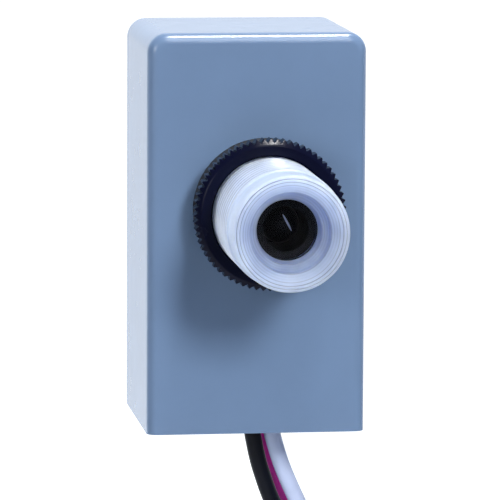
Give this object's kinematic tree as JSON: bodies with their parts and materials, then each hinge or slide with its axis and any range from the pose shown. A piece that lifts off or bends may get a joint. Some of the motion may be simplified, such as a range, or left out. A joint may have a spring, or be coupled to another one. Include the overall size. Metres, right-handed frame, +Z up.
{
  "type": "photocell switch",
  "caption": "Wired-in photocell switch: grey rounded box with a clear threaded stem for light, a knurled locknut and flying leads at the base.",
  "frame": {"origin": "on the stem axis in the plane of the housing's front face, where the panel seats", "axes": "+Z up the housing, -Y forwards along the stem, +X to the right as seen from the front, looking along +Y"},
  "size_m": [0.0349, 0.0518, 0.119],
  "materials": {
    "housing_grey": "satin moulded grey plastic",
    "clear": "clear, lightly frosted plastic",
    "nut_black": "black satin plastic",
    "black_rubber": "matt black rubber",
    "spring_steel": "bright spring steel",
    "tinned": "bright tinned metal",
    "shroud_black": "dull black plastic",
    "sensor_dark": "dark tinted lens",
    "board_green": "green solder mask",
    "case_black": "black moulded case",
    "film_yellow": "yellow potted case",
    "sleeve_blue": "dark blue sleeve",
    "varistor_blue": "blue dipped coating",
    "resistor_tan": "tan ceramic coating",
    "chip_black": "black moulding",
    "lead_black": "black insulation",
    "lead_red": "red insulation with a magenta cast",
    "lead_white": "white insulation",
    "copper": "bare copper strands",
    "tie_black": "black nylon"
  },
  "bodies": {
    "housing": {"housing": "housing_grey", "base_cap": "housing_grey", "lead_grommet": "black_rubber", "stem": "clear", "stem_seal": "black_rubber", "retaining_ring": "spring_steel", "light_shroud": "shroud_black", "photo_sensor": "sensor_dark", "circuit_board": "board_green", "relay": "case_black", "film_capacitor": "film_yellow", "electrolytic_capacitor": "sleeve_blue", "varistor": "varistor_blue", "dropper_resistor": "resistor_tan", "rectifier": "chip_black", "transistor": "chip_black", "surge_diode": "chip_black", "chip_resistors": "chip_black", "solder_joints": "tinned", "lead_terminals": "tinned", "line_lead": "lead_black", "load_lead": "lead_red", "neutral_lead": "lead_white", "line_strands": "copper", "load_strands": "copper", "neutral_strands": "copper", "lead_tie": "tie_black"},
    "washer": {"seal_washer": "black_rubber"},
    "nut": {"locknut": "nut_black"}
  },
  "joints": [
    {"name": "nut_travel", "type": "slide", "parent": "housing", "child": "washer", "axis": [0, -1, 0], "range_m": [0, 0.0105]},
    {"name": "nut_turn", "type": "hinge", "parent": "washer", "child": "nut", "pos_m": [0, 0, 0], "axis": [0, -1, 0], "range_deg": [0, 2520]}
  ],
  "couplings": [
    {"joint": "nut_turn", "follows": "nut_travel", "rad_per_m": 4188.8}
  ]
}
